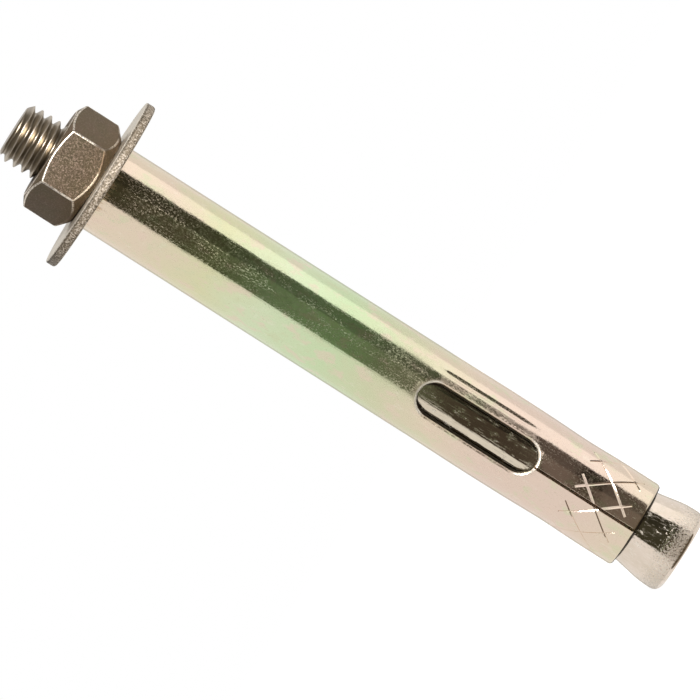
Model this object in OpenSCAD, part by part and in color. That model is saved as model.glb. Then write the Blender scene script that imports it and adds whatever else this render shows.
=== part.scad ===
// Hex-nut sleeve anchor: a cone-ended stud, a split expansion sleeve, a washer and a nut.
// It stands on its cone end. Z runs up the stud, and the stud's axis is at X = Y = 0.
// Lengths are in millimetres and angles in degrees.

/* [Stud] */
// Outer diameter of the thread
thread_d = 8; // [6:0.5:10]
// Pitch of the thread
thread_pitch = 1.25; // [0.8:0.05:1.5]
// Length of the threaded end
thread_len = 42; // [25:1:60]
// Thread that stands out above the nut
thread_tail = 5.4; // [2:0.1:20]
// Gap between the plain shank and the sleeve that it guides
shank_gap = 0.15; // [0.05:0.05:0.25]

/* [Cone end] */
// How much the cone's largest radius lies below the sleeve's outer face
cone_step = 0.2; // [0.1:0.05:0.5]
// Slope of the cone's side to its axis
cone_angle = 10.5; // [7:0.5:16]
// Length of the straight band below the cone
cone_band = 2.8; // [2:0.1:5]
// Radius round the edge of the end face
cone_edge_r = 1.2; // [0.4:0.1:1.6]

/* [Sleeve] */
// Length of the sleeve
sleeve_len = 78.6; // [60:0.2:120]
// Thickness of the rolled sheet
sleeve_wall = 1; // [0.8:0.05:1.6]
// Gap between the sleeve and the crests of the thread
sleeve_gap = 0.85; // [0.3:0.05:1.2]
// Radius round the outer edge of the split end
sleeve_end_r = 0.6; // [0.2:0.05:0.7]
// Radius round the outer edge of the end under the washer
sleeve_top_r = 0.2; // [0.1:0.05:0.6]
// Depth of the bevel inside the split end, which seats on the cone
mouth_bevel = 0.1; // [0.05:0.05:0.3]

/* [Leaves] */
// Number of leaves that the split end has
leaf_count = 3; // [2:1:3]
// Length of the leaves, from the split end to the windows
leaf_len = 14.9; // [8:0.1:25]
// Length of a window
window_len = 17.3; // [8:0.1:25]
// Width of a window
window_w = 4.8; // [3:0.1:6]
// Width of the slits that run from the windows to the split end
slit_w = 0.25; // [0.15:0.05:0.6]
// How far a slit runs beside the middle of its window
slit_offset = 0.3; // [0:0.1:0.8]
// Width of the seam where the rolled sheet's edges meet
seam_w = 0.2; // [0.1:0.05:0.6]

/* [Washer] */
// Outer diameter of the washer
washer_d = 23.6; // [18:0.2:30]
// Thickness of the washer
washer_t = 1.35; // [1:0.05:2.5]
// Gap between the washer and the crests of the thread
washer_gap = 0.2; // [0.1:0.05:0.5]
// Radius that punching left round the washer's lower edge
washer_edge_r = 0.4; // [0.1:0.05:0.6]

/* [Nut] */
// Width of the nut across its flats
nut_af = 13; // [12:0.5:17]
// Height of the nut
nut_h = 6.8; // [5:0.1:10]
// Width of the upper chamfer at the middle of a flat
nut_top_chamfer = 0.35; // [0.1:0.05:0.6]
// Slope of the upper chamfer to the end face
nut_top_angle = 30; // [15:1:45]
// Width of the lower chamfer at the middle of a flat
nut_foot_chamfer = 0.55; // [0.1:0.05:0.8]
// Slope of the lower chamfer to the end face
nut_foot_angle = 42; // [15:1:45]
// Width of the countersink at each end of the bore
nut_sink = 0.4; // [0.2:0.05:0.8]
// Angle of a flat to the front, as the nut was left
nut_turn = 5; // [-30:1:30]

/* [Fits] */
// Gap between the nut's bore and the crests of the thread
thread_clearance = 0.05; // [0.02:0.01:0.1]
// Gap between faces that seat on each other and move apart
seat_clearance = 0.05; // [0.02:0.01:0.1]

/* [Hidden] */
$fn = 96;
// Overrun of a cutting shape past the faces it cuts
cut = 1;
// Depth of a 60 degree thread with rounded roots, in pitches
THREAD_DEPTH = 0.6134;

thread_r = thread_d / 2;
tip_chamfer = THREAD_DEPTH * thread_pitch;

sleeve_bore_r = thread_r + sleeve_gap;
sleeve_r = sleeve_bore_r + sleeve_wall;
mouth_r = sleeve_bore_r + mouth_bevel;
shank_r = sleeve_bore_r - shank_gap;
bevel_len = mouth_bevel / tan(cone_angle);

cone_r = sleeve_r - cone_step;
cone_top_z = cone_band + (cone_r - shank_r) / tan(cone_angle);

// The sleeve's mouth stands where the cone has grown to meet it
sleeve_z = cone_band + (cone_r - mouth_r + seat_clearance) / tan(cone_angle);
sleeve_top_z = sleeve_z + sleeve_len;
window_z = sleeve_z + leaf_len + window_len / 2;
leaf_angle = 360 / leaf_count;

washer_z = sleeve_top_z + seat_clearance;
washer_bore_r = thread_r + washer_gap;

nut_z = washer_z + washer_t + seat_clearance;
nut_top_z = nut_z + nut_h;
nut_flat_r = nut_af / 2;
nut_corner_r = nut_flat_r / cos(30);
nut_bore_r = thread_r + thread_clearance;

stud_top_z = nut_top_z + thread_tail;
thread_z = stud_top_z - thread_len;
shank_top_z = thread_z - (shank_r - thread_r);

// The sliver outside a rounded corner at the origin, with the solid on the left and above
module corner_sliver(r) {
    translate([-r, 0])
        difference() {
            square(r);
            translate([0, r]) circle(r);
        }
}

// Half section of the stud: end face, band, cone, thicker shank, thread and chamfered tip
module stud_section() {
    difference() {
        polygon([
            [0, 0],
            [cone_r, 0],
            [cone_r, cone_band],
            [shank_r, cone_top_z],
            [shank_r, shank_top_z],
            [thread_r, thread_z],
            [thread_r, stud_top_z - tip_chamfer],
            [thread_r - tip_chamfer, stud_top_z],
            [0, stud_top_z]
        ]);
        translate([cone_r, 0]) corner_sliver(cone_edge_r);
    }
}

module stud() {
    color([0.66, 0.61, 0.53])
        rotate_extrude() stud_section();
}

// Half section of the rolled sheet, with its bevelled mouth at the split end
module sleeve_section() {
    difference() {
        polygon([
            [mouth_r, sleeve_z],
            [sleeve_r, sleeve_z],
            [sleeve_r, sleeve_top_z],
            [sleeve_bore_r, sleeve_top_z],
            [sleeve_bore_r, sleeve_z + bevel_len]
        ]);
        translate([sleeve_r, sleeve_z]) corner_sliver(sleeve_end_r);
        translate([sleeve_r, sleeve_top_z]) mirror([0, 1]) corner_sliver(sleeve_top_r);
    }
}

// Punch for a window in the front of the sleeve: an oblong with full-round ends
module window_punch() {
    end_r = window_w / 2;
    straight = window_len - window_w;
    translate([0, 0, window_z])
        rotate([90, 0, 0])
            linear_extrude(sleeve_r + cut) {
                square([window_w, straight], center = true);
                for (side = [-1, 1])
                    translate([0, side * straight / 2]) circle(end_r);
            }
}

// Cut through the front wall of the sleeve, from its split end up to a height above it
module wall_cut(width, height) {
    translate([-width / 2, -sleeve_r - cut, sleeve_z - cut])
        cube([width, sleeve_r + cut, height + cut]);
}

// Windows with their slits part the leaves, and the open seam parts the last two
module sleeve() {
    color([0.80, 0.74, 0.62])
        difference() {
            rotate_extrude() sleeve_section();
            for (i = [0 : leaf_count - 2])
                rotate([0, 0, i * leaf_angle]) {
                    window_punch();
                    translate([-slit_offset, 0, 0]) wall_cut(slit_w, leaf_len + window_w / 2);
                }
            rotate([0, 0, -leaf_angle]) wall_cut(seam_w, sleeve_len + cut);
        }
}

module washer() {
    color([0.58, 0.51, 0.43])
        rotate_extrude()
            translate([0, washer_z])
                difference() {
                    translate([washer_bore_r, 0]) square([washer_d / 2 - washer_bore_r, washer_t]);
                    translate([washer_d / 2, 0]) corner_sliver(washer_edge_r);
                }
}

// Half section of the turned blank that chamfers both ends of the hexagon
module nut_blank_section() {
    top_r = nut_flat_r - nut_top_chamfer;
    foot_r = nut_flat_r - nut_foot_chamfer;
    blank_r = nut_corner_r + cut;
    top_rise = (blank_r - top_r) * tan(nut_top_angle);
    foot_rise = (blank_r - foot_r) * tan(nut_foot_angle);
    polygon([
        [0, nut_z],
        [foot_r, nut_z],
        [blank_r, nut_z + foot_rise],
        [blank_r, nut_top_z - top_rise],
        [top_r, nut_top_z],
        [0, nut_top_z]
    ]);
}

// Half section of the nut's bore, which opens into a countersink at each end
module nut_bore_section() {
    sink_r = nut_bore_r + nut_sink;
    polygon([
        [0, nut_z - cut],
        [sink_r + cut, nut_z - cut],
        [nut_bore_r, nut_z + nut_sink],
        [nut_bore_r, nut_top_z - nut_sink],
        [sink_r + cut, nut_top_z + cut],
        [0, nut_top_z + cut]
    ]);
}

module nut() {
    color([0.52, 0.46, 0.39])
        difference() {
            intersection() {
                rotate([0, 0, nut_turn])
                    translate([0, 0, nut_z]) cylinder(r = nut_corner_r, h = nut_h, $fn = 6);
                rotate_extrude() nut_blank_section();
            }
            rotate_extrude() nut_bore_section();
        }
}

stud();
sleeve();
washer();
nut();
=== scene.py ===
"""Models and finishes a hex-nut sleeve anchor: stud, rolled sleeve, washer and nut.

The anchor stands on its cone end, with Z up the stud. Lengths are in metres.
"""

import math

import bpy
from bpy.props import FloatProperty, FloatVectorProperty, IntProperty, PointerProperty
from mathutils import Matrix, Vector, noise


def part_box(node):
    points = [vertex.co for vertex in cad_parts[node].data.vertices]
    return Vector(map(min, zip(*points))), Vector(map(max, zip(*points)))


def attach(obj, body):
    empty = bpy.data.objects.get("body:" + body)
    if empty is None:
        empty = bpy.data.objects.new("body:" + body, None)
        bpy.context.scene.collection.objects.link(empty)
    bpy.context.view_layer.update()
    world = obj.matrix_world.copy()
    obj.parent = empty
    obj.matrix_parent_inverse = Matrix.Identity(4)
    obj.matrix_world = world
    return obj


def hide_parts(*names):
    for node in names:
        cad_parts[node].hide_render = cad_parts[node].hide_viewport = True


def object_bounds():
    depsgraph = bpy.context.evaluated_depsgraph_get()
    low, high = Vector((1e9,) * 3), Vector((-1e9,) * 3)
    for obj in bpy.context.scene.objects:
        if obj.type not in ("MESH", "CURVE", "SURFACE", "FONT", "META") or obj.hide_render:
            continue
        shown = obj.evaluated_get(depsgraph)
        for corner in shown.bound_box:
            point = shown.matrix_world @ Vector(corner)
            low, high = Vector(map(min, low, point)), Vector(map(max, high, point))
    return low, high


bl_info = {
    "name": "Sleeve Anchor",
    "version": (1, 0, 0),
    "blender": (4, 5, 0),
    "location": "3D View > Sidebar > Anchor",
    "description": "Models a hex-nut sleeve anchor and the studio that it stands in",
    "category": "Add Mesh",
}

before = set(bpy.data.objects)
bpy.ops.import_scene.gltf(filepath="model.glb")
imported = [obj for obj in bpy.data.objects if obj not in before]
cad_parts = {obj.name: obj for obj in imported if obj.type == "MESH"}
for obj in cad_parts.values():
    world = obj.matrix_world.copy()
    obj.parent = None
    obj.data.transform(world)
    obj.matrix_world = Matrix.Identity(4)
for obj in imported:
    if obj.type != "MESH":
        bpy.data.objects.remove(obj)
SOLID_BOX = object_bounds()

MM = 0.001
FULL_TURN = 2 * math.pi
THREAD_DEPTH = 0.6134  # of the pitch
SENSOR = 36  # width of the camera's sensor in millimetres
PICTURE = 700  # width of the picture in pixels

STUD_LOW, STUD_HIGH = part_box("stud")
SLEEVE_LOW, SLEEVE_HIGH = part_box("sleeve")
WASHER_LOW, WASHER_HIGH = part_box("washer")
NUT_LOW, NUT_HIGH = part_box("nut")


# ---------------------------------------------------------------- settings

class StudSettings(bpy.types.PropertyGroup):
    """Sizes and colours of the threaded stud and its cone"""
    thread_diameter: FloatProperty(
        name="Thread diameter", description="Diameter over the crests of the thread",
        default=8 * MM, unit="LENGTH")
    thread_pitch: FloatProperty(
        name="Thread pitch", description="Rise of the thread in one turn",
        default=1.25 * MM, unit="LENGTH")
    thread_length: FloatProperty(
        name="Thread length", description="Length of the threaded end",
        default=42 * MM, unit="LENGTH")
    crest_height: FloatProperty(
        name="Crest height",
        description="Height at which a crest passes the right side of the stud",
        default=96 * MM, unit="LENGTH")
    shank_diameter: FloatProperty(
        name="Shank diameter", description="Diameter of the plain part of the stud",
        default=9.4 * MM, unit="LENGTH")
    cone_slope: FloatProperty(
        name="Cone slope", description="Slope of the cone's side to its axis",
        default=math.radians(10.5), subtype="ANGLE")
    cone_band: FloatProperty(
        name="Cone band", description="Length of the straight band below the cone",
        default=2.8 * MM, unit="LENGTH")
    end_edge_radius: FloatProperty(
        name="End edge radius", description="Radius round the edge of the end face",
        default=1.2 * MM, unit="LENGTH")
    pit_depth: FloatProperty(
        name="Pit depth", description="Depth of the pits in the rough end of the cone",
        default=0.03 * MM, unit="LENGTH")
    colour: FloatVectorProperty(
        name="Plating", description="Colour of the stud's plating",
        default=(0.67, 0.585, 0.46), subtype="COLOR", min=0, max=1)
    # Painted shade: a darker colour that stands in for the shade in the thread's roots.
    root_shade_colour: FloatVectorProperty(
        name="Thread roots", description="Darker colour of the plating in the thread's roots",
        default=(0.23, 0.19, 0.14), subtype="COLOR", min=0, max=1)
    thread_colour: FloatVectorProperty(
        name="Thread", description="Colour of the plating on the crests of the thread",
        default=(0.46, 0.40, 0.32), subtype="COLOR", min=0, max=1)
    cone_colour: FloatVectorProperty(
        name="Cone", description="Colour of the plating on the cone",
        default=(0.74, 0.63, 0.53), subtype="COLOR", min=0, max=1)


class SleeveSettings(bpy.types.PropertyGroup):
    """Sizes and film colours of the rolled, split sleeve"""
    wall: FloatProperty(
        name="Wall", description="Thickness of the rolled sheet",
        default=1 * MM, unit="LENGTH")
    leaf_length: FloatProperty(
        name="Leaf length", description="Length of the leaves, from the split end to the windows",
        default=14.9 * MM, unit="LENGTH")
    window_length: FloatProperty(
        name="Window length", description="Length of a window",
        default=17.3 * MM, unit="LENGTH")
    window_width: FloatProperty(
        name="Window width", description="Width of a window along the sheet",
        default=4.95 * MM, unit="LENGTH")
    slit_width: FloatProperty(
        name="Slit width", description="Width of the slits below the windows",
        default=0.25 * MM, unit="LENGTH")
    slit_offset: FloatProperty(
        name="Slit offset", description="How far a slit runs beside the middle of its window",
        default=0.3 * MM, unit="LENGTH")
    seam_width: FloatProperty(
        name="Seam width", description="Gap between the edges of the rolled sheet",
        default=0.2 * MM, unit="LENGTH")
    end_radius: FloatProperty(
        name="End radius", description="Radius round the outer edge of the split end",
        default=0.45 * MM, unit="LENGTH")
    window_rim: FloatProperty(
        name="Window rim", description="Radius that punching left round the windows",
        default=0.3 * MM, unit="LENGTH")
    groove_width: FloatProperty(
        name="Groove width", description="Width of the pressed lines in the split end",
        default=0.095 * MM, unit="LENGTH")
    groove_depth: FloatProperty(
        name="Groove depth", description="Depth of the pressed lines in the split end",
        default=0.026 * MM, unit="LENGTH")
    crease_angle: FloatProperty(
        name="Crease angle",
        description="Angle from the middle of a window to the crease beside it",
        default=math.radians(39.8), subtype="ANGLE")
    crease_depth: FloatProperty(
        name="Crease depth", description="Depth of the crease beside a window",
        default=0.14 * MM, unit="LENGTH")
    diamonds: IntProperty(
        name="Diamonds", description="Number of pressed diamonds round the split end",
        default=9, min=3, max=24)
    pink_film: FloatVectorProperty(
        name="Pink film", description="Colour of the passivation film on the leaves",
        default=(0.72, 0.57, 0.47), subtype="COLOR", min=0, max=1)
    straw_film: FloatVectorProperty(
        name="Straw film",
        description="Colour of the passivation film beside the washer and windows",
        default=(0.71, 0.60, 0.45), subtype="COLOR", min=0, max=1)
    green_film: FloatVectorProperty(
        name="Green film", description="Colour of the passivation film in the middle of the sleeve",
        default=(0.56, 0.67, 0.41), subtype="COLOR", min=0, max=1)


class WasherSettings(bpy.types.PropertyGroup):
    """Sizes and colours of the large washer"""
    bore_diameter: FloatProperty(
        name="Bore diameter", description="Diameter of the washer's hole",
        default=8.4 * MM, unit="LENGTH")
    edge_radius: FloatProperty(
        name="Edge radius", description="Radius that punching left round the lower edge",
        default=0.4 * MM, unit="LENGTH")
    colour: FloatVectorProperty(
        name="Plating", description="Colour of the washer's plating",
        default=(0.285, 0.222, 0.152), subtype="COLOR", min=0, max=1)


class NutSettings(bpy.types.PropertyGroup):
    """Sizes and colours of the hex nut"""
    across_flats: FloatProperty(
        name="Across flats", description="Width of the nut across its flats",
        default=13 * MM, unit="LENGTH")
    turn: FloatProperty(
        name="Turn", description="Angle of a flat to the front",
        default=math.radians(5), subtype="ANGLE")
    top_chamfer: FloatProperty(
        name="Top chamfer", description="Width of the upper chamfer at the middle of a flat",
        default=0.35 * MM, unit="LENGTH")
    foot_chamfer: FloatProperty(
        name="Foot chamfer", description="Width of the lower chamfer at the middle of a flat",
        default=0.55 * MM, unit="LENGTH")
    countersink: FloatProperty(
        name="Countersink", description="Width of the countersink at each end of the bore",
        default=0.4 * MM, unit="LENGTH")
    thread_clearance: FloatProperty(
        name="Thread clearance", description="Gap between the nut's thread and the stud's",
        default=0.06 * MM, unit="LENGTH")
    colour: FloatVectorProperty(
        name="Plating", description="Colour of the nut's plating",
        default=(0.112, 0.084, 0.045), subtype="COLOR", min=0, max=1)
    # Partly real wear, partly a painted highlight on the rounded edges.
    rubbed_and_highlit_colour: FloatVectorProperty(
        name="Worn edges", description="Colour of the nut's rounded edges, where they are worn",
        default=(0.78, 0.70, 0.60), subtype="COLOR", min=0, max=1)


class StageSettings(bpy.types.PropertyGroup):
    """The floor, the light and the camera"""
    floor_colour: FloatVectorProperty(
        name="Floor", description="Colour of the floor",
        default=(0.86, 0.86, 0.86), subtype="COLOR", min=0, max=1)
    dark_card: FloatVectorProperty(
        name="Dark card", description="Colour of the upper end of the card in front",
        default=(0.052, 0.050, 0.030), subtype="COLOR", min=0, max=1)
    green_card: FloatVectorProperty(
        name="Green card", description="Colour of the middle of the card in front",
        default=(0.205, 0.262, 0.160), subtype="COLOR", min=0, max=1)
    brown_card: FloatVectorProperty(
        name="Brown card", description="Colour of the lower end of the card in front",
        default=(0.190, 0.160, 0.138), subtype="COLOR", min=0, max=1)
    ceiling: FloatVectorProperty(
        name="Ceiling", description="Colour that sloping metal mirrors from above and below",
        default=(0.15, 0.125, 0.09), subtype="COLOR", min=0, max=1)
    sky_strength: FloatProperty(
        name="Sky", description="Strength of the even light from all sides", default=0.14, min=0)
    key_power: FloatProperty(
        name="Key lamp", description="Power of the lamp in front and above",
        default=1.6, min=0, unit="POWER")
    glint_power: FloatProperty(
        name="Glint lamp", description="Power of the lamp that only the metal's gloss shows",
        default=2.4, min=0, unit="POWER")
    camera_azimuth: FloatProperty(
        name="Camera azimuth", description="Direction of the camera, from the front to the right",
        default=math.radians(3.8), subtype="ANGLE")
    camera_elevation: FloatProperty(
        name="Camera elevation", description="Height of the camera above the part's middle",
        default=math.radians(2.9), subtype="ANGLE")
    camera_roll: FloatProperty(
        name="Camera roll", description="How far the picture is turned to the left",
        default=math.radians(57.53), subtype="ANGLE")
    frame_width: FloatProperty(
        name="Frame width", description="Width of the picture at the part",
        default=87.5 * MM, unit="LENGTH")
    lens: FloatProperty(
        name="Lens", description="Focal length of the camera in millimetres", default=1500, min=1)


# ---------------------------------------------------------------- modelling helpers

def deselect_all():
    """Leaves edit mode and selects nothing, so that an operator acts on one piece only."""
    active = bpy.context.view_layer.objects.active
    if active and active.mode != "OBJECT":
        bpy.ops.object.mode_set(mode="OBJECT")
    bpy.ops.object.select_all(action="DESELECT")


def activate(piece):
    """Selects one piece and makes it the active object."""
    deselect_all()
    piece.select_set(True)
    bpy.context.view_layer.objects.active = piece


def edit(piece):
    """Opens a piece in edit mode with all of its mesh selected."""
    activate(piece)
    bpy.ops.object.mode_set(mode="EDIT")
    bpy.ops.mesh.select_all(action="SELECT")


def close_edit():
    """Goes back to object mode."""
    bpy.ops.object.mode_set(mode="OBJECT")


def edit_chosen(piece, items, chosen):
    """Opens a piece in edit mode with only the chosen vertices or edges selected."""
    edit(piece)
    bpy.ops.mesh.select_all(action="DESELECT")
    close_edit()
    for item in items:
        item.select = chosen(item)
    activate(piece)
    bpy.ops.object.mode_set(mode="EDIT")


def named(name):
    """Names the primitive that was just added, and moves its place into its mesh."""
    piece = bpy.context.object
    piece.name = name
    piece.data.name = name
    bpy.ops.object.transform_apply(location=True, rotation=True, scale=True)
    return piece


def draw_outline(name, points):
    """Draws a chain of edges through points, by extruding one vertex again and again."""
    deselect_all()
    bpy.ops.mesh.primitive_plane_add(size=MM, location=(0, 0, 0))
    piece = named(name)
    edit(piece)
    bpy.ops.mesh.merge(type="CENTER")
    bpy.ops.transform.translate(value=points[0])
    for start, end in zip(points, points[1:]):
        step = Vector(end) - Vector(start)
        bpy.ops.mesh.extrude_region_move(TRANSFORM_OT_translate={"value": step})
    close_edit()
    return piece


def clean(piece):
    """Merges doubled vertices and turns the faces outwards."""
    edit(piece)
    bpy.ops.mesh.remove_doubles(threshold=0.002 * MM)
    bpy.ops.mesh.select_all(action="SELECT")
    bpy.ops.mesh.normals_make_consistent(inside=False)
    close_edit()


def turned(name, section, steps):
    """Spins a section of (radius, height) points about the stud's axis."""
    piece = draw_outline(name, [(radius, 0, height) for radius, height in section])
    edit(piece)
    bpy.ops.mesh.spin(steps=steps, angle=FULL_TURN, center=(0, 0, 0), axis=(0, 0, 1))
    clean(piece)
    return piece


def apply_modifier(piece, kind, **settings):
    """Adds a modifier with its settings and applies it."""
    activate(piece)
    bpy.ops.object.modifier_add(type=kind)
    modifier = piece.modifiers[-1]
    for key, value in settings.items():
        setattr(modifier, key, value)
    bpy.ops.object.modifier_apply(modifier=modifier.name)


def combine(piece, tool, operation):
    """Cuts, crosses or joins a piece with a tool shape, which is used up."""
    apply_modifier(piece, "BOOLEAN", operation=operation, object=tool, solver="EXACT")
    activate(tool)
    bpy.ops.object.delete()


def saw(piece, axis, places):
    """Divides all faces of a piece at places along an axis, and keeps both sides."""
    normal = Vector((0, 0, 0))
    normal[axis] = 1
    edit(piece)
    for place in places:
        bpy.ops.mesh.select_all(action="SELECT")
        bpy.ops.mesh.bisect(plane_co=normal * place, plane_no=normal)
    close_edit()


def smooth(piece, degrees):
    """Shades a piece smooth, apart from its edges sharper than an angle."""
    activate(piece)
    bpy.ops.object.shade_smooth_by_angle(angle=math.radians(degrees))


def place(piece, body, slot, *materials):
    """Puts a finished piece on its body in place of the plain solid of the same name."""
    for material in materials:
        piece.data.materials.append(material)
    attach(piece, body)
    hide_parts(body)
    deselect_all()


def ease(value, low, high):
    """Rises smoothly from 0 at low to 1 at high."""
    share = min(max((value - low) / (high - low), 0), 1)
    return share * share * (3 - 2 * share)


def hump(value, middle, reach):
    """Rises smoothly from 0 at a reach from the middle to 1 at the middle."""
    return 1 - ease(abs(value - middle), 0, reach)


def arc(centre_r, centre_z, radius, start, end, count):
    """Points (radius, height) of a rounded edge, by angles in degrees."""
    angles = [math.radians(start + (end - start) * i / count) for i in range(count + 1)]
    return [(centre_r + radius * math.cos(a), centre_z + radius * math.sin(a)) for a in angles]


# ---------------------------------------------------------------- shader helper

class Wire:
    """An output in a node tree. Arithmetic on it adds Math nodes."""

    def __init__(self, tree, socket):
        self.tree = tree
        self.socket = socket

    def node(self, kind, settings=None, inputs=None, out=0):
        """Adds a node, sets its settings, fills its sockets and gives one of its outputs."""
        node = self.tree.nodes.new(kind)
        for key, value in (settings or {}).items():
            if key == "stops":
                elements = node.color_ramp.elements
                while len(elements) < len(value):
                    elements.new(1)
                for element, (position, colour) in zip(elements, value):
                    element.position = position
                    element.color = (*colour, 1)
            else:
                setattr(node, key, value)
        for key, value in (inputs or {}).items():
            if isinstance(value, Wire):
                self.tree.links.new(value.socket, node.inputs[key])
            else:
                default = node.inputs[key].default_value
                is_colour = not isinstance(default, float) and len(default) == 4
                node.inputs[key].default_value = (*value, 1) if is_colour else value
        return Wire(self.tree, node.outputs[out]) if node.outputs else None

    def math(self, operation, *values):
        """Adds a Math node."""
        return self.node("ShaderNodeMath", {"operation": operation}, dict(enumerate(values)))

    def __add__(self, other):
        return self.math("ADD", self, other)

    __radd__ = __add__

    def __sub__(self, other):
        return self.math("SUBTRACT", self, other)

    def __rsub__(self, other):
        return self.math("SUBTRACT", other, self)

    def __mul__(self, other):
        return self.math("MULTIPLY", self, other)

    __rmul__ = __mul__

    def __truediv__(self, other):
        return self.math("DIVIDE", self, other)

    def ramp(self, low, high):
        """Goes smoothly from 0 at low to 1 at high."""
        return self.node("ShaderNodeMapRange", {"interpolation_type": "SMOOTHSTEP"},
                         {"Value": self, "From Min": low, "From Max": high})

    def scaled(self, x, y, z):
        """Stretches coordinates, so that a pattern is finer along some axes."""
        return self.node("ShaderNodeVectorMath", {"operation": "MULTIPLY"}, {0: self, 1: (x, y, z)})

    def noise(self, scale, detail, roughness):
        """Adds a noise pattern."""
        return self.node("ShaderNodeTexNoise", None,
                         {"Vector": self, "Scale": scale, "Detail": detail, "Roughness": roughness})

    def stored(self, name):
        """Reads a value that is stored in the mesh."""
        return self.node("ShaderNodeAttribute", {"attribute_name": name}, out="Fac")

    def mix(self, first, second):
        """Mixes two colours by this value."""
        return self.node("ShaderNodeMix", {"data_type": "RGBA"},
                         {0: self, 6: first, 7: second}, out=2)

    def bump(self, strength, distance, under=None):
        """Turns this height into a surface normal."""
        inputs = {"Height": self, "Strength": strength, "Distance": distance}
        if under:
            inputs["Normal"] = under
        return self.node("ShaderNodeBump", None, inputs)


def new_finish(name):
    """Starts a material, and gives it with its Object coordinates and its height."""
    material = bpy.data.materials.new(name)
    material.use_nodes = True
    tree = material.node_tree
    tree.nodes.clear()
    texture = tree.nodes.new("ShaderNodeTexCoord")
    spot = Wire(tree, texture.outputs["Object"])
    height = spot.node("ShaderNodeSeparateXYZ", None, {0: spot}, out="Z")
    return material, spot, height


def metal(spot, colour, roughness, normal, metallic=1.0, gloss=0.5):
    """Ends a material in a metal shader."""
    shader = spot.node("ShaderNodeBsdfPrincipled", None, {
        "Base Color": colour, "Metallic": metallic, "Roughness": roughness, "Normal": normal,
        "Specular IOR Level": gloss})
    spot.node("ShaderNodeOutputMaterial", None, {"Surface": shader})


def shine(spot, colour, strength):
    """Ends a material in plain light."""
    shader = spot.node("ShaderNodeEmission", None, {"Color": colour, "Strength": strength})
    spot.node("ShaderNodeOutputMaterial", None, {"Surface": shader})


# ---------------------------------------------------------------- stud

def thread_section(radius, pitch):
    """One pitch of a 60 degree thread with rounded roots and crests, from root to root."""
    root_round, crest_round = 0.1443 * pitch, 0.08 * pitch
    root = radius - THREAD_DEPTH * pitch
    crest = pitch * 0.4375 + crest_round * math.tan(math.radians(30))
    rise = [(root + root_round * (1 - math.cos(a)), root_round * math.sin(a))
            for a in map(math.radians, (0, 20, 40, 60))]
    rise += [(radius - crest_round * (1 - math.cos(a)), crest - crest_round * math.sin(a))
             for a in map(math.radians, (60, 40, 20, 0))]
    fall = [(r, pitch - z) for r, z in reversed(rise)]
    return rise + fall


def threaded_rod(name, settings, clearance, low, high):
    """A rod with the anchor's thread between two heights, closed at both ends."""
    pitch = settings.thread_pitch
    turns = math.ceil((high - low) / pitch) + 3
    start = settings.crest_height - pitch / 2
    start -= math.ceil((start - low) / pitch + 1) * pitch
    section = thread_section(settings.thread_diameter / 2, pitch)
    rod = draw_outline(name, [(r + clearance, 0, start + z) for r, z in section])
    apply_modifier(rod, "SCREW", axis="Z", angle=FULL_TURN, screw_offset=pitch, iterations=turns,
                   steps=64, render_steps=64, use_merge_vertices=True,
                   merge_threshold=0.002 * MM, use_smooth_shade=False)
    for end, flip in ((low, -1), (high, 1)):
        edit(rod)
        bpy.ops.mesh.bisect(plane_co=(0, 0, end), plane_no=(0, 0, flip), use_fill=True,
                            clear_outer=True)
        close_edit()
    clean(rod)
    return rod


def cone_section(settings, top):
    """End face, rounded edge, band, cone and shank, with close rings where the end is rough."""
    band_r = SLEEVE_HIGH.x - 0.2 * MM
    shank_r = settings.shank_diameter / 2
    edge = settings.end_edge_radius
    slope = math.tan(settings.cone_slope)
    cone_top = settings.cone_band + (band_r - shank_r) / slope
    section = [(0, 0), (band_r * 0.4, 0), (band_r - edge, 0)]
    section += arc(band_r - edge, edge, edge, -90, 0, 12)[1:]
    height = edge
    while height < cone_top - 0.2 * MM:
        height += 0.14 * MM if height < 6 * MM else 0.6 * MM
        drop = max(height - settings.cone_band, 0) * slope
        soft = 0.04 * MM * hump(height, settings.cone_band, 0.9 * MM)
        section.append((band_r - drop - soft, height))
    neck_r = settings.thread_diameter / 2 - 0.1 * MM
    section += [(shank_r, cone_top + 0.5 * MM), (shank_r, top - shank_r + neck_r), (neck_r, top),
                (neck_r, top + 0.6 * MM), (0, top + 0.6 * MM)]
    return section


def roughen_end(piece, settings):
    """Pits the band and the cone's lower end, where the plating is rough."""
    for vertex in piece.data.vertices:
        spot = vertex.co
        radius = math.hypot(spot.x, spot.y)
        share = ease(spot.z, 0.3 * MM, 1.1 * MM) * (1 - ease(spot.z, 1.6 * MM, 3.4 * MM))
        if radius < 4.3 * MM or share <= 0:
            continue
        grain = noise.noise(spot * 2600) + 0.8 * noise.noise(spot * 5200)
        ridge = 0.105 * hump(spot.z, 0.95 * MM, 0.5 * MM)
        depth = settings.pit_depth * share * (min(grain, 0.15) - 0.15 + ridge)
        vertex.co.x += spot.x / radius * depth
        vertex.co.y += spot.y / radius * depth


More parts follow.
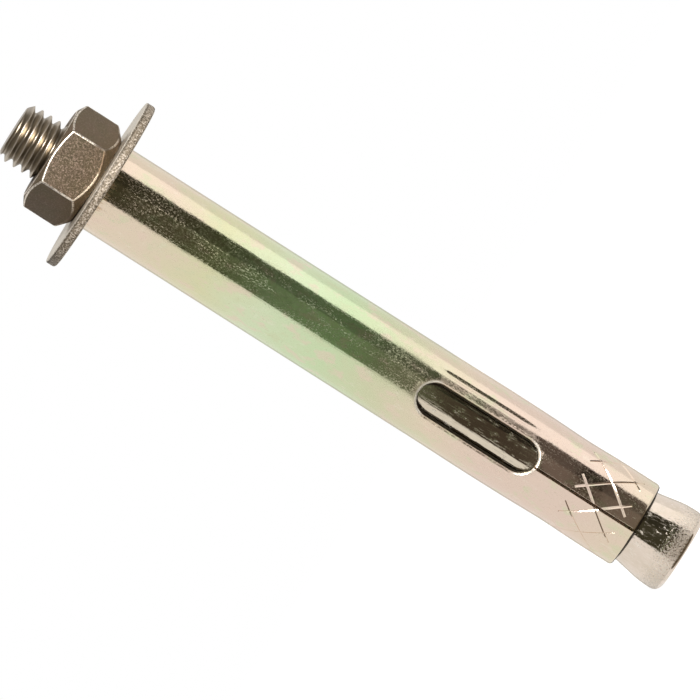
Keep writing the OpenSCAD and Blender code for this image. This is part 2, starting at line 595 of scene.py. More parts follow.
def plated_stud(settings):
    """Bright plating with painted shade in the thread's roots, scratched along the shank and pitted
    at the end.
    """
    material, spot, height = new_finish("stud_plating")
    flat = spot.scaled(1, 1, 0)
    radius = spot.node("ShaderNodeVectorMath", {"operation": "LENGTH"}, {0: flat}, out="Value")
    crest = settings.thread_diameter / 2
    on_thread = height.ramp(57 * MM, 58 * MM)
    on_end = 1 - height.ramp(0.8 * MM, 4.4 * MM)
    above_edge = height.ramp(0.45 * MM, 0.65 * MM)
    # Painted shade: this mask darkens the thread's roots, where shade falls in the grooves.
    root = on_thread * (1 - radius.ramp(crest - 0.40 * MM, crest - 0.04 * MM))
    cloud = spot.noise(420, 3, 0.6)
    grain = spot.noise(5200, 2, 0.6)
    lines = spot.scaled(1, 1, 0.04).noise(5200, 3, 0.65)
    tool = spot.scaled(0.03, 0.03, 1).noise(7000, 2, 0.5)
    colour = (1 - height.ramp(12 * MM, 16 * MM)).mix(settings.colour, settings.cone_colour)
    colour = (cloud.ramp(0.35, 0.75) * 0.3).mix(colour, (0.52, 0.45, 0.33))
    colour = on_thread.mix(colour, settings.thread_colour)
    colour = (root * 0.7).mix(colour, settings.root_shade_colour)
    fine = spot.noise(4300, 4, 0.75)
    pits = on_end * (1 - fine.ramp(0.35, 0.43))
    colour = (pits * 0.7).mix(colour, (0.10, 0.08, 0.058))
    bare = above_edge * (fine + 0.2 * on_end).ramp(0.60, 0.70) * on_end.ramp(0.04, 0.2)
    colour = (bare * 0.8).mix(colour, (0.70, 0.61, 0.50))
    marks = spot.scaled(1, 1, 0.35).noise(1500, 5, 0.75).ramp(0.55, 0.68)
    scratch = (1 - on_thread) * (1 - on_end) * (0.5 * lines.ramp(0.56, 0.66) + 0.9 * marks)
    colour = (scratch * 0.5).mix(colour, (0.82, 0.76, 0.66))
    roughness = 0.03 + 0.03 * cloud + 0.03 * lines + 0.20 * bare
    roughness = roughness + 0.27 * on_thread + 0.28 * scratch
    surface = lines * 0.2 + tool * 0.04 + grain * 0.1 + bare * 0.4 + scratch * 0.5
    metal(spot, colour, roughness, surface.bump(0.4, 0.03 * MM), 1 - 0.5 * bare)
    return material


class ANCHOR_OT_stud(bpy.types.Operator):
    """Models the threaded stud with its cone and plating"""
    bl_idname = "anchor.stud"
    bl_label = "Stud"

    def execute(self, context):
        settings = context.scene.anchor_stud
        top = STUD_HIGH.z
        thread_low = top - settings.thread_length
        depth = THREAD_DEPTH * settings.thread_pitch
        radius = settings.thread_diameter / 2

        stud = threaded_rod("anchor_stud", settings, 0, thread_low, top + MM)
        point = turned("tip_blank", [
            (0, thread_low - MM), (radius + MM, thread_low - MM),
            (radius + MM, top - depth - MM), (radius - depth + 0.12 * MM, top - 0.12 * MM),
            (radius - depth - 0.05 * MM, top), (0, top)], 96)
        combine(stud, point, "INTERSECT")

        body = turned("cone_body", cone_section(settings, thread_low), 192)
        roughen_end(body, settings)
        combine(stud, body, "UNION")
        smooth(stud, 28)
        place(stud, "stud", "stud_steel", plated_stud(settings))
        return {"FINISHED"}


# ---------------------------------------------------------------- sleeve

def sheet_layout(settings):
    """Places along the flat sheet: its radius, its windows and its edges."""
    radius = SLEEVE_HIGH.x
    third = FULL_TURN / 3 * radius
    gap = settings.seam_width / 2
    return radius, (0, third), (-third + gap, 2 * third - gap)


def window_punch(settings, across, middle):
    """An oblong punch with round ends, through the flat sheet."""
    deselect_all()
    bpy.ops.mesh.primitive_cylinder_add(
        vertices=48, radius=settings.window_width / 2, depth=4 * settings.wall,
        location=(across, 0, middle), rotation=(math.pi / 2, math.pi / 48, 0))
    punch = named("window_punch")
    half = (settings.window_length - settings.window_width) / 2
    for side in (-1, 1):
        edit_chosen(punch, punch.data.vertices, lambda end: (end.co.z - middle) * side > 0)
        bpy.ops.transform.translate(value=(0, 0, side * half))
        close_edit()
    return punch


def slit_blade(settings, across, low, high):
    """A thin blade that parts two leaves."""
    deselect_all()
    bpy.ops.mesh.primitive_cube_add(
        size=1, location=(across, 0, (low + high) / 2),
        scale=(settings.slit_width, 4 * settings.wall, high - low))
    return named("slit_blade")


def groove_bar(settings, across, low, high, lean):
    """A three-sided bar that presses one V-shaped line into the outside of the flat sheet."""
    reach = math.hypot(lean, high - low)
    size = 0.45 * MM
    depth = settings.groove_depth
    squeeze = 0.577 * 2 * depth / settings.groove_width
    deselect_all()
    bpy.ops.mesh.primitive_cylinder_add(vertices=3, radius=size, depth=reach, location=(0, 0, 0))
    bar = named("pressed_line")
    edit(bar)
    bpy.ops.transform.resize(value=(1, squeeze, 1))
    bpy.ops.transform.translate(value=(0, depth - size * squeeze, 0))
    for share in (-0.3, -0.15, 0, 0.15, 0.3):
        bpy.ops.mesh.select_all(action="SELECT")
        bpy.ops.mesh.bisect(plane_co=(0, 0, share * reach), plane_no=(0, 0, 1))
    close_edit()
    for vertex in bar.data.vertices:
        vertex.co.y -= 0.6 * depth * abs(vertex.co.z) / (reach / 2)
    bar.rotation_euler = (0, math.atan2(lean, high - low), 0)
    bar.location = (across, 0, (low + high) / 2)
    activate(bar)
    bpy.ops.object.transform_apply(location=True, rotation=True, scale=True)
    for vertex in bar.data.vertices:
        vertex.co.y -= 0.7 * depth * ease(abs(vertex.co.x - 1.5 * MM), 1.3 * MM, 2.3 * MM)
    return bar


def pressed_lines(settings, lean):
    """All pressed lines that lean one way, joined in one tool."""
    radius, _, (left, right) = sheet_layout(settings)
    step = FULL_TURN * radius / settings.diamonds
    middle = SLEEVE_LOW.z + 5.64 * MM
    low, high = middle - 3.6 * MM, middle + 3.75 * MM
    run = lean * step / 2 / (2.54 * MM) * (high - low)
    first = math.radians(33.5) * radius
    bars = []
    for i in range(-settings.diamonds, settings.diamonds + 1):
        across = first + i * step
        if left - step < across < right + step:
            shift = run * ((low + high) / 2 - middle) / (high - low)
            bars.append(groove_bar(settings, across + shift, low, high, run))
    deselect_all()
    for bar in bars:
        bar.select_set(True)
    bpy.context.view_layer.objects.active = bars[0]
    bpy.ops.object.join()
    return bars[0]


def rim_widths(sheet, settings):
    """Gives each outer edge of the sheet the width of its rounding, as a bevel weight."""
    _, _, (left, right) = sheet_layout(settings)
    low, high = SLEEVE_LOW.z, SLEEVE_HIGH.z
    near = 0.01 * MM
    leaf = low + settings.leaf_length
    mesh = sheet.data
    faces_of = {}
    for face in mesh.polygons:
        for key in face.edge_keys:
            faces_of.setdefault(key, []).append(face.normal)
    weights = mesh.attributes.new("bevel_weight_edge", "FLOAT", "EDGE")
    for edge in mesh.edges:
        a, b = (mesh.vertices[i].co for i in edge.vertices)
        normals = faces_of[edge.key]
        if len(normals) != 2 or normals[0].dot(normals[1]) > 0.5:
            continue
        middle = (a + b) / 2
        width = 0
        if abs(a.y) < near and abs(b.y) < near:
            if abs(middle.z - low) < near:
                width = settings.end_radius
            elif abs(middle.z - high) < near:
                width = 0.2 * MM
            elif abs(middle.x - left) < near or abs(middle.x - right) < near:
                width = 0.12 * MM
            elif middle.z < leaf + 0.05 * MM and abs(a.x - b.x) < near:
                width = 0.09 * MM
            else:
                width = settings.window_rim
        elif abs(middle.z - low) < near and abs(middle.y - settings.wall) < near:
            width = 0.3 * MM
        weights.data[edge.index].value = width / settings.end_radius


def roll_shape(settings, angle, height):
    """How far the rolled sheet stands out of true, from pressing it and cutting it."""
    radius, windows, _ = sheet_layout(settings)
    low = SLEEVE_LOW.z
    leaf = low + settings.leaf_length
    window_top = leaf + settings.window_length
    mid = (leaf + window_top) / 2
    out = 0.05 * MM * hump(height, mid - 2 * MM, 9 * MM)
    out -= 0.09 * MM * hump(height, low + 10.5 * MM, 5.5 * MM)
    flat_slit, flat_seam = math.radians(16), math.radians(12)
    edge = math.asin(min(settings.window_width / 2 / radius, 1)) * 0.97
    for across in windows:
        aside = (angle - across / radius - settings.crease_angle) * radius
        share = ease(height, leaf + 0.8 * MM, leaf + 4.6 * MM)
        share *= 1 - ease(height, window_top - 3.6 * MM, window_top + 0.4 * MM)
        out -= settings.crease_depth * share * hump(aside, 0, 0.6 * MM)
        swell = (settings.crease_angle - edge) * radius
        out += 0.035 * MM * share * hump(aside, -0.45 * swell, 0.45 * swell)
        away = abs(angle - (across - settings.slit_offset) / radius)
        if away < flat_slit:
            share = 1 - ease(height, leaf - 1.2 * MM, leaf + 1.6 * MM)
            out += share * radius * (1 / math.cos(flat_slit - away) - 1)
    away = min(abs(angle + FULL_TURN / 3), abs(angle - 2 * FULL_TURN / 3))
    if away < flat_seam:
        out += radius * (1 / math.cos(flat_seam - away) - 1)
    return out


def mark_pressed(sleeve, settings, flat):
    """Stores where the punch left the sheet duller, and a painted highlight on the outer rims round
    the windows' ends.
    """
    radius, windows, _ = sheet_layout(settings)
    middle = SLEEVE_LOW.z + settings.leaf_length + settings.window_length / 2
    half = (settings.window_length - settings.window_width) / 2
    pressed = sleeve.data.attributes.new("pressed", "FLOAT", "POINT")
    burnished = sleeve.data.attributes.new("burnished", "FLOAT", "POINT")
    for vertex, (angle, height) in zip(sleeve.data.vertices, flat):
        along = max(abs(height - middle) - half, 0)
        gap = min(math.hypot(angle * radius - across, along) for across in windows)
        gap -= settings.window_width / 2
        beside = 1 - ease(along, 0.2 * MM, 1.5 * MM)
        near, far = 0.3 * MM + 0.9 * MM * beside, 0.6 * MM + 1.8 * MM * beside
        pressed.data[vertex.index].value = 1 - ease(gap, near, far)
        outside = math.hypot(vertex.co.x, vertex.co.y) > SLEEVE_HIGH.x - 0.3 * MM
        # Painted highlight: the rims' round ends are marked to be painted pale, as if catching the
        # light.
        rim = (1 - ease(gap, 0.16 * MM, 0.3 * MM)) * ease(along, 0.1 * MM, 1.2 * MM)
        burnished.data[vertex.index].value = rim if outside else 0


def passivated_sleeve(settings):
    """Bright zinc under a thin film whose tint drifts from pink to green along the sleeve."""
    material, spot, height = new_finish("sleeve_film")
    span = SLEEVE_HIGH.z - SLEEVE_LOW.z
    drift = spot.scaled(1, 1, 0.35).noise(260, 2, 0.5)
    blotch = spot.scaled(1, 1, 0.6).noise(520, 3, 0.6)
    cloud = spot.scaled(1, 1, 0.5).noise(1100, 4, 0.65)
    speck = spot.scaled(1, 1, 0.6).noise(6000, 4, 0.75)
    patch = spot.scaled(1, 1, 0.3).noise(700, 2, 0.5)
    lines = spot.scaled(1, 1, 0.03).noise(4200, 4, 0.7)
    along = (height - SLEEVE_LOW.z) / span + (drift - 0.5) * 0.12
    pink, straw, green = settings.pink_film, settings.straw_film, settings.green_film
    film = along.node("ShaderNodeValToRGB", {"stops": [
        (0.00, straw), (0.10, pink), (0.26, pink), (0.36, straw), (0.47, (0.61, 0.61, 0.40)),
        (0.56, green), (0.70, (0.62, 0.69, 0.46)), (0.80, (0.66, 0.64, 0.40)), (0.90, straw),
        (1.00, (0.73, 0.60, 0.46))]}, {"Fac": along})
    film = (blotch.ramp(0.52, 0.66) * 0.55).mix(film, (0.74, 0.58, 0.47))
    film = ((1 - blotch.ramp(0.34, 0.46)) * 0.5).mix(film, (0.60, 0.62, 0.40))
    film = (cloud.ramp(0.55, 0.75) * 0.35).mix(film, (0.80, 0.74, 0.60))
    film = ((1 - speck.ramp(0.33, 0.42)) * 0.30).mix(film, (0.36, 0.30, 0.20))
    fleck = speck.ramp(0.46, 0.62) * (0.6 + 0.4 * patch.ramp(0.40, 0.62))
    streak = lines.ramp(0.54, 0.66)
    pressed, burnished = spot.stored("pressed"), spot.stored("burnished")
    # Painted highlight: the windows' rim ends turn pale and less metallic.
    film = (burnished * 0.8).mix(film, (0.88, 0.82, 0.71))
    top = SLEEVE_LOW.z + settings.leaf_length + settings.window_length
    haze = height.ramp(top - MM, top + MM) * (1 - height.ramp(top + 4 * MM, top + 10 * MM))
    dull = (pressed + 0.45 * haze) * (0.5 + cloud)
    roughness = 0.05 + 0.04 * cloud + 0.10 * streak + 0.24 * fleck + 0.2 * dull
    surface = (lines * 0.25 + speck * 0.25) * (1 - 0.6 * pressed)
    dents = spot.scaled(1, 1, 0.5).noise(480, 3, 0.6)
    bent = dents.bump(0.24, 0.09 * MM)
    metal(spot, film, roughness, surface.bump(0.3, 0.022 * MM, bent), 1 - 0.7 * burnished)
    return material


def painted_shade_inside():
    """Painted shade: a dark, dull finish for the sleeve's inside, the windows' cut walls and the
    split end's end face.
    """
    material, spot, _ = new_finish("sleeve_inside_shade")
    cloud = spot.noise(900, 3, 0.6)
    lines = spot.scaled(1, 1, 0.04).noise(3600, 3, 0.6)
    colour = cloud.ramp(0.3, 0.7).mix((0.030, 0.025, 0.017), (0.06, 0.05, 0.035))
    metal(spot, colour, 0.38 + 0.2 * lines, (cloud + lines).bump(0.3, 0.03 * MM))
    return material


class ANCHOR_OT_sleeve(bpy.types.Operator):
    """Punches, presses and rolls the split sleeve from a flat sheet"""
    bl_idname = "anchor.sleeve"
    bl_label = "Sleeve"

    def execute(self, context):
        settings = context.scene.anchor_sleeve
        radius, windows, (left, right) = sheet_layout(settings)
        low, high = SLEEVE_LOW.z, SLEEVE_HIGH.z
        leaf = low + settings.leaf_length
        window_top = leaf + settings.window_length

        deselect_all()
        bpy.ops.mesh.primitive_cube_add(
            size=1, location=((left + right) / 2, settings.wall / 2, (low + high) / 2),
            scale=(right - left, settings.wall, high - low))
        sleeve = named("expansion_sleeve")
        for across in windows:
            combine(sleeve, window_punch(settings, across, (leaf + window_top) / 2), "DIFFERENCE")
            blade = slit_blade(settings, across - settings.slit_offset, low - MM, leaf + MM)
            combine(sleeve, blade, "DIFFERENCE")
        rim_widths(sleeve, settings)
        apply_modifier(sleeve, "BEVEL", limit_method="WEIGHT", width=settings.end_radius,
                       segments=5, use_clamp_overlap=False)
        for lean in (-1, 1):
            combine(sleeve, pressed_lines(settings, lean), "DIFFERENCE")

        strips = 288
        saw(sleeve, 0, [left + (right - left) * i / strips for i in range(1, strips)])
        creases = [across + settings.crease_angle * radius for across in windows]
        saw(sleeve, 0, [crease + i * 0.05 * MM for crease in creases for i in range(-12, 13)])
        heights = [low + i * 0.9 * MM for i in range(1, 40)]
        heights += [low + 36 * MM + i * 3.5 * MM for i in range(1, 12)]
        saw(sleeve, 2, heights)
        apply_modifier(sleeve, "SIMPLE_DEFORM", deform_method="BEND", deform_axis="Z",
                       angle=(right - left) / radius)
        edit(sleeve)
        bpy.ops.transform.translate(value=(0, -radius, 0))
        close_edit()
        clean(sleeve)
        flat = []
        for vertex in sleeve.data.vertices:
            angle = math.atan2(vertex.co.x, -vertex.co.y)
            if angle < -FULL_TURN / 3:
                angle += FULL_TURN
            flat.append((angle, vertex.co.z))
            reach = math.hypot(vertex.co.x, vertex.co.y)
            stretch = 1 + roll_shape(settings, angle, vertex.co.z) / reach
            vertex.co.x *= stretch
            vertex.co.y *= stretch
        mark_pressed(sleeve, settings, flat)
        smooth(sleeve, 22)
        apply_modifier(sleeve, "WEIGHTED_NORMAL", mode="FACE_AREA", keep_sharp=True)
        place(sleeve, "sleeve", "sleeve_steel", passivated_sleeve(settings), painted_shade_inside())
        # Painted shade: the inside, the windows' cut walls and the end face get the dark inside
        # finish.
        for face in sleeve.data.polygons:
            spot = face.center
            reach = math.hypot(spot.x, spot.y)
            outward = (spot.x * face.normal.x + spot.y * face.normal.y) / reach
            inside = reach < radius - 0.9 * settings.wall and outward < 0
            cut = reach < radius - 0.3 * settings.wall and abs(outward) < 0.4
            cut = cut and leaf < spot.z < window_top
            end = face.normal.z < -0.6 and spot.z < low + settings.end_radius
            face.material_index = 1 if inside or cut or end else 0
        return {"FINISHED"}


# ---------------------------------------------------------------- washer

def plated_washer(settings):
    """Grainy brown plating, paler on both faces, with a painted highlight along the worn upper edge
    and a painted shade line just below it.
    """
    material, spot, height = new_finish("washer_plating")
    grain = spot.noise(4200, 3, 0.7)
    cloud = spot.noise(500, 3, 0.6)
    shear = spot.scaled(1, 1, 0.25).noise(2600, 3, 0.6)
    colour = (cloud.ramp(0.3, 0.7) * 0.5).mix(settings.colour, (0.32, 0.26, 0.19))
    colour = ((1 - grain.ramp(0.36, 0.48)) * 0.8).mix(colour, (0.06, 0.047, 0.03))
    colour = (grain.ramp(0.51, 0.60) * 0.8).mix(colour, (0.76, 0.66, 0.55))
    under = 1 - height.ramp(WASHER_LOW.z + 0.01 * MM, WASHER_LOW.z + 0.06 * MM)
    colour = under.mix(colour, (0.72, 0.61, 0.47))
    # Partly wear, partly a painted highlight along the upper edge's rounding.
    worn_and_highlit = height.ramp(WASHER_HIGH.z - 0.16 * MM, WASHER_HIGH.z - 0.06 * MM)
    # Painted shade: a dark band below the upper edge's rounding.
    shade = height.ramp(WASHER_HIGH.z - 0.42 * MM, WASHER_HIGH.z - 0.26 * MM) * (1 - worn_and_highlit)
    colour = (shade * 0.55).mix(colour, (0.07, 0.055, 0.035))
    colour = (worn_and_highlit * 0.65).mix(colour, (0.80, 0.73, 0.62))
    over = height.ramp(WASHER_HIGH.z - 0.03 * MM, WASHER_HIGH.z - 0.01 * MM)
    roughness = 0.42 + 0.16 * grain + 0.08 * cloud - 0.10 * worn_and_highlit - 0.25 * under - 0.1 * over
    surface = grain * 0.7 + shear * 0.6
    lean = (height * -1000).bump(1, 0.16 * MM)
    metallic = 0.16 + 0.77 * under + 0.6 * over
    metal(spot, colour, roughness, surface.bump(0.8, 0.06 * MM, lean), metallic, 0.2)
    return material


class ANCHOR_OT_washer(bpy.types.Operator):
    """Models the large punched washer"""
    bl_idname = "anchor.washer"
    bl_label = "Washer"

    def execute(self, context):
        settings = context.scene.anchor_washer
        low, high = WASHER_LOW.z, WASHER_HIGH.z
        outer, bore = WASHER_HIGH.x, settings.bore_diameter / 2
        edge, burr, bore_edge = settings.edge_radius, 0.2 * MM, 0.15 * MM
        section = arc(outer - edge, low + edge, edge, -90, 0, 6)
        rings = 8
        side = high - burr - (low + edge)
        section += [(outer, low + edge + side * i / rings) for i in range(1, rings + 1)]
        section += arc(outer - burr, high - burr, burr, 0, 90, 5)[1:]
        section += [(bore + (outer - bore) * share, high) for share in (0.75, 0.5, 0.25)]
        section += arc(bore + bore_edge, high - bore_edge, bore_edge, 90, 180, 3)
        section += arc(bore + bore_edge, low + bore_edge, bore_edge, 180, 270, 3)
        section += [(bore + (outer - bore) * 0.5, low), section[0]]
        washer = turned("large_washer", section, 256)
        for vertex in washer.data.vertices:
            x, y, z = vertex.co
            reach = math.hypot(x, y)
            if reach < outer - 0.3 * MM:
                continue
            shear = noise.noise(Vector((x * 1500, y * 1500, z * 700)))
            stretch = 1 + 0.03 * MM * (shear - 0.6) / reach
            vertex.co.x *= stretch
            vertex.co.y *= stretch
        smooth(washer, 30)
        place(washer, "washer", "washer_steel", plated_washer(settings))
        return {"FINISHED"}


# ---------------------------------------------------------------- nut

def plated_nut(settings):
    """Brown plating, with a grainy flat in front whose stronger, paler grain is partly painted
    glint where the lamp falls.
    """
    material, spot, _ = new_finish("nut_plating")
    grain = spot.noise(4600, 5, 0.8)
    cloud = spot.noise(450, 3, 0.6)
    facing = spot.node("ShaderNodeVectorMath", {"operation": "DOT_PRODUCT"}, {
        0: spot, 1: (math.sin(settings.turn), -math.cos(settings.turn), 0)}, out="Value")
    flat_r = settings.across_flats / 2
    # Partly real grain, partly painted glint: the flat facing the front and the lamp gets stronger
    # grain.
    grain_and_glint_front = 0.3 + 0.7 * facing.ramp(flat_r - 0.3 * MM, flat_r - 0.1 * MM)
    colour = (cloud.ramp(0.3, 0.7) * 0.6).mix(settings.colour, (0.142, 0.094, 0.062))
    colour = ((1 - grain.ramp(0.38, 0.50)) * 0.8 * grain_and_glint_front).mix(colour, (0.055, 0.040, 0.026))
    colour = (grain.ramp(0.51, 0.63) * 0.8 * grain_and_glint_front).mix(colour, (0.42, 0.30, 0.225))
    roughness = 0.42 + 0.14 * grain + 0.08 * cloud
    surface = grain * grain_and_glint_front + cloud * 0.3
    metal(spot, colour, roughness, surface.bump(1, 0.12 * MM), 0.25, 0.2)
    return material


def rubbed_and_highlit_edge(settings):
    """Bright metal on the nut's rounded edges: partly real wear, partly a painted highlight where
    the edges catch the light.
    """
    material, spot, _ = new_finish("nut_edges")
    grain = spot.noise(3800, 3, 0.65)
    wear_and_highlight = spot.noise(260, 2, 0.5).ramp(0.36, 0.54) * grain.ramp(0.32, 0.54)
    colour = wear_and_highlight.mix((0.16, 0.12, 0.085), settings.rubbed_and_highlit_colour)
    metal(spot, colour, 0.36 + 0.2 * grain, grain.bump(0.4, 0.03 * MM))
    return material


class ANCHOR_OT_nut(bpy.types.Operator):
    """Models the hex nut with its chamfers and its thread"""
    bl_idname = "anchor.nut"
    bl_label = "Nut"

    def execute(self, context):
        settings = context.scene.anchor_nut
        thread = context.scene.anchor_stud
        low, high = NUT_LOW.z, NUT_HIGH.z
        flat_r = settings.across_flats / 2
        corner_r = flat_r / math.cos(math.pi / 6)

        deselect_all()
        bpy.ops.mesh.primitive_cylinder_add(
            vertices=6, radius=corner_r, depth=high - low, location=(0, 0, (low + high) / 2),
            rotation=(0, 0, math.radians(30) + settings.turn))
        nut = named("hex_nut")
        nut.data.materials.append(plated_nut(settings))
        # The rounded edges' material is partly real wear and partly a painted highlight.
        nut.data.materials.append(rubbed_and_highlit_edge(settings))
        heights = [vertex.co.z for vertex in nut.data.vertices]
        edit_chosen(nut, nut.data.edges, lambda edge: abs(
            heights[edge.vertices[0]] - heights[edge.vertices[1]]) > MM)
        bpy.ops.mesh.bevel(offset=0.16 * MM, segments=3, affect="EDGES", material=1)
        close_edit()

        top_r, foot_r = flat_r - settings.top_chamfer, flat_r - settings.foot_chamfer
        wide = corner_r + MM
        top_rise = (wide - top_r) * math.tan(math.radians(30))
        foot_rise = (wide - foot_r) * math.tan(math.radians(42))
        blank = turned("nut_blank", [
            (0, low), (foot_r, low), (wide, low + foot_rise), (wide, high - top_rise),
            (top_r, high), (0, high)], 144)
        combine(nut, blank, "INTERSECT")
        apply_modifier(nut, "BEVEL", limit_method="ANGLE", angle_limit=math.radians(25),
                       width=0.15 * MM, segments=2, material=1, use_clamp_overlap=False)

        cutter = threaded_rod("nut_tap", thread, settings.thread_clearance, low - MM, high + MM)
        combine(nut, cutter, "DIFFERENCE")
        bore = thread.thread_diameter / 2 + settings.thread_clearance
        sink = settings.countersink
        for end, way in ((low, -1), (high, 1)):
            cone = turned("countersink", [
                (0, end - way * (bore + sink)), (bore + sink + MM, end + way * MM),
                (0, end + way * MM)], 96)
            combine(nut, cone, "DIFFERENCE")
        smooth(nut, 24)
        place(nut, "nut", "nut_steel")
        return {"FINISHED"}


# ---------------------------------------------------------------- stage

def only_mirrored(piece):
    """Hides a card from everything but the reflections in the metal."""
    piece.visible_camera = False
    piece.visible_diffuse = False
    piece.visible_shadow = False
    piece.visible_transmission = False


def glow(name, colour, strength):
    """A plain material that shines evenly."""
    material, spot, _ = new_finish(name)
    shine(spot, colour, strength)
    return material


def shaded_card(name, settings, strength, low):
    """A card in front: dark above, greener in the middle, and brown with a dim band below."""
    material, spot, height = new_finish(name)
    share = (height + 20 * MM) / (100 * MM)
    dark, green, brown = settings.dark_card, settings.green_card, settings.brown_card
    dim = [low * value for value in (brown[0], 0.92 * brown[1], 0.8 * brown[2])]
    olive = [0.65 * value for value in green]
    colour = spot.node("ShaderNodeValToRGB", {"stops": [
        (0.21, brown), (0.25, dim), (0.410, dim), (0.435, green), (0.57, green), (0.66, olive),
        (0.77, [1.6 * value for value in dark]), (0.87, dark)]}, {"Fac": share})
    shine(spot, colour, strength)
    return material


def card(name, start, end, reach, low, high, material):
    """A card bent round the part between two directions, in degrees from the front."""
    edge = Matrix.Rotation(math.radians(start), 3, "Z") @ Vector((0, -reach, 0))
    piece = draw_outline(name, [(edge.x, edge.y, low), (edge.x, edge.y, high)])
    edit(piece)
    bpy.ops.mesh.spin(steps=24, angle=math.radians(start - end), center=(0, 0, 0), axis=(0, 0, 1))
    close_edit()
    piece.data.materials.append(material)
    only_mirrored(piece)


def disc(name, radius, spot, vertices, material):
    """A round sheet that lies flat."""
    deselect_all()
    bpy.ops.mesh.primitive_circle_add(vertices=vertices, radius=radius, fill_type="NGON",
                                      location=spot)
    piece = named(name)
    piece.data.materials.append(material)
    return piece


def direction(azimuth, elevation):
    """The way from the part to a place, by its angle from the front and its height."""
    level = math.cos(elevation)
    return Vector((math.sin(azimuth) * level, -math.cos(azimuth) * level, math.sin(elevation)))


def lamp(name, azimuth, elevation, distance, size, power, target, gloss_only=False):
    """A square soft box that looks at the part."""
    deselect_all()
    bpy.ops.object.light_add(type="AREA", location=(0, 0, 0))
    light = bpy.context.object
    light.name = name
    light.data.size = size
    light.data.energy = power
    way = direction(azimuth, elevation)
    light.location = target + way * distance
    light.rotation_euler = way.to_track_quat("Z", "Y").to_euler()
    light.visible_camera = False
    light.visible_diffuse = not gloss_only


def pale_floor(settings):
    """Pale, mat floor that looks white to the camera and still takes the part's shadow."""
    material = bpy.data.materials.new("pale_floor")
    material.use_nodes = True
    tree = material.node_tree
    tree.nodes.clear()
    path = tree.nodes.new("ShaderNodeLightPath")
    seen = Wire(tree, path.outputs["Is Camera Ray"])
    mat = seen.node("ShaderNodeBsdfDiffuse", None, {"Color": settings.floor_colour})
    lift = seen.node("ShaderNodeEmission", None, {"Color": (1, 1, 1), "Strength": seen * 0.9})
    both = seen.node("ShaderNodeAddShader", None, {0: mat, 1: lift})
    seen.node("ShaderNodeOutputMaterial", None, {"Surface": both})
    return material


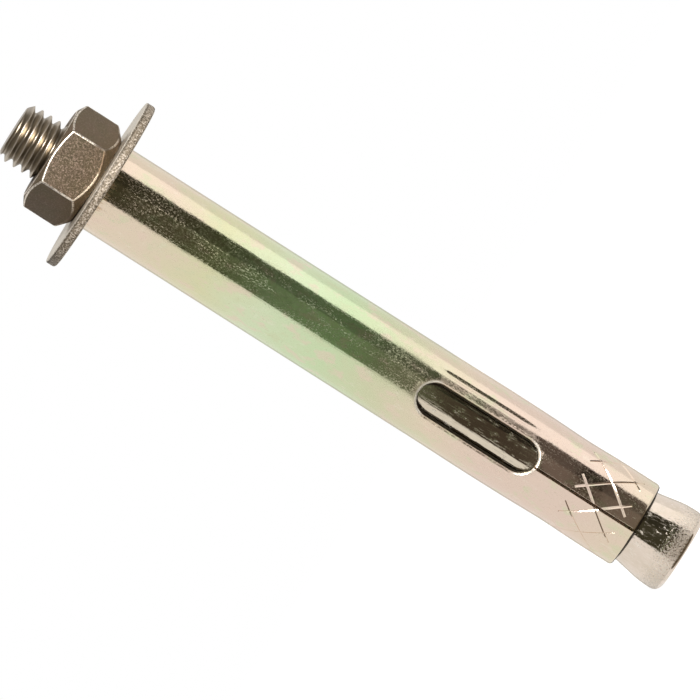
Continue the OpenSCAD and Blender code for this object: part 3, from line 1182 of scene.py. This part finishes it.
class ANCHOR_OT_stage(bpy.types.Operator):
    """Sets up the floor, the cards, the lamps, the world and the camera"""
    bl_idname = "anchor.stage"
    bl_label = "Stage"

    def execute(self, context):
        settings = context.scene.anchor_stage
        scene = context.scene
        scene.view_settings.view_transform = "Standard"
        middle = Vector((0, 0, (SOLID_BOX[0][2] + SOLID_BOX[1][2]) / 2))

        floor = disc("floor", 0.7, (0, 0, 0), 96, pale_floor(settings))
        floor.visible_glossy = False

        view = math.degrees(settings.camera_azimuth)
        dark = shaded_card("dark_card", settings, 0.62, 0.16)
        brown = shaded_card("brown_card", settings, 1, 0.36)
        grey = glow("grey_card", (0.72, 0.70, 0.66), 1)
        dim = glow("ceiling", settings.ceiling, 1)
        bright = glow("bright_card", (1, 1, 1), 1.32)
        thread_light = glow("thread_light", (1, 0.96, 0.9), 2.6)
        thread_shade = glow("thread_shade", (0.05, 0.042, 0.03), 1)
        far, near, thread_low = 0.35, 0.04, 0.0925
        for name, start, end, reach, low, high, material in (
                ("dark_front", 26, 61, far, -0.55, 0.21, dark),
                ("brown_front", -26, 26, far, -0.55, 0.21, brown),
                ("thread_left", -100, 4, near, thread_low, 0.14, thread_shade),
                ("thread_shine", 4, 31, near, thread_low, 0.101, thread_light),
                ("thread_right", 31, 110, near, thread_low, 0.14, thread_shade),
                ("grey_back", 150, 210, far, -0.11, 0.21, grey),
                ("bright_side", 61, 100, far, -0.14, 0.24, bright)):
            card(name, view + start, view + end, reach, low, high, material)
        only_mirrored(disc("ceiling", 0.62, (0, 0, 0.66), 64, dim))
        only_mirrored(disc("ground", 0.26, (0.06, -0.06, -0.4), 64, dim))

        side, rise = settings.camera_azimuth + math.radians(20), math.radians(40)
        lamp("key_lamp", side, rise, 0.42, 0.12, settings.key_power, middle)
        lamp("glint_lamp", side, rise, 0.40, 0.24, settings.glint_power, middle, gloss_only=True)

        world = bpy.data.worlds.new("studio")
        scene.world = world
        world.use_nodes = True
        tree = world.node_tree
        tree.nodes.clear()
        path = tree.nodes.new("ShaderNodeLightPath")
        seen = Wire(tree, path.outputs["Is Camera Ray"])
        mirrored = Wire(tree, path.outputs["Is Glossy Ray"])
        through = Wire(tree, path.outputs["Is Transmission Ray"])
        rays = seen + mirrored + through
        white = rays.math("MINIMUM", rays, 1)
        strength = settings.sky_strength + white * (1 - settings.sky_strength)
        sky = seen.node("ShaderNodeBackground", None, {"Color": (1, 1, 1), "Strength": strength})
        seen.node("ShaderNodeOutputWorld", None, {"Surface": sky})

        back = direction(settings.camera_azimuth, settings.camera_elevation)
        turn = back.to_track_quat("Z", "Y").to_matrix()
        turn = turn @ Matrix.Rotation(-settings.camera_roll, 3, "Z")
        pixel = settings.frame_width / PICTURE
        aim = middle + turn @ Vector((2.1 * pixel, -7.8 * pixel, 0))
        deselect_all()
        distance = settings.frame_width * settings.lens / SENSOR
        bpy.ops.object.camera_add(location=aim + back * distance)
        camera = context.object
        camera.name = "photo_camera"
        camera.rotation_euler = turn.to_euler()
        camera.data.lens = settings.lens
        camera.data.sensor_width = SENSOR
        camera.data.clip_start = 0.01
        scene.camera = camera
        return {"FINISHED"}


# ---------------------------------------------------------------- add-on

class ANCHOR_PT_panel(bpy.types.Panel):
    """Sidebar panel with the anchor's pieces and sizes"""
    bl_label = "Sleeve Anchor"
    bl_idname = "ANCHOR_PT_panel"
    bl_space_type = "VIEW_3D"
    bl_region_type = "UI"
    bl_category = "Anchor"

    def draw(self, context):
        layout = self.layout
        for operator, group in PIECES:
            box = layout.box()
            box.operator(operator)
            settings = getattr(context.scene, group)
            for key in settings.__annotations__:
                box.prop(settings, key)


PIECES = (
    ("anchor.stage", "anchor_stage"),
    ("anchor.stud", "anchor_stud"),
    ("anchor.sleeve", "anchor_sleeve"),
    ("anchor.washer", "anchor_washer"),
    ("anchor.nut", "anchor_nut"),
)

GROUPS = {
    "anchor_stage": StageSettings,
    "anchor_stud": StudSettings,
    "anchor_sleeve": SleeveSettings,
    "anchor_washer": WasherSettings,
    "anchor_nut": NutSettings,
}

CLASSES = (
    *GROUPS.values(),
    ANCHOR_OT_stage,
    ANCHOR_OT_stud,
    ANCHOR_OT_sleeve,
    ANCHOR_OT_washer,
    ANCHOR_OT_nut,
    ANCHOR_PT_panel,
)


def register():
    for item in CLASSES:
        bpy.utils.register_class(item)
    for name, group in GROUPS.items():
        setattr(bpy.types.Scene, name, PointerProperty(type=group))


def unregister():
    for name in GROUPS:
        delattr(bpy.types.Scene, name)
    for item in reversed(CLASSES):
        bpy.utils.unregister_class(item)


def main():
    register()
    bpy.ops.anchor.stage()
    bpy.ops.anchor.stud()
    bpy.ops.anchor.sleeve()
    bpy.ops.anchor.washer()
    bpy.ops.anchor.nut()


if __name__ == "__main__":
    main()
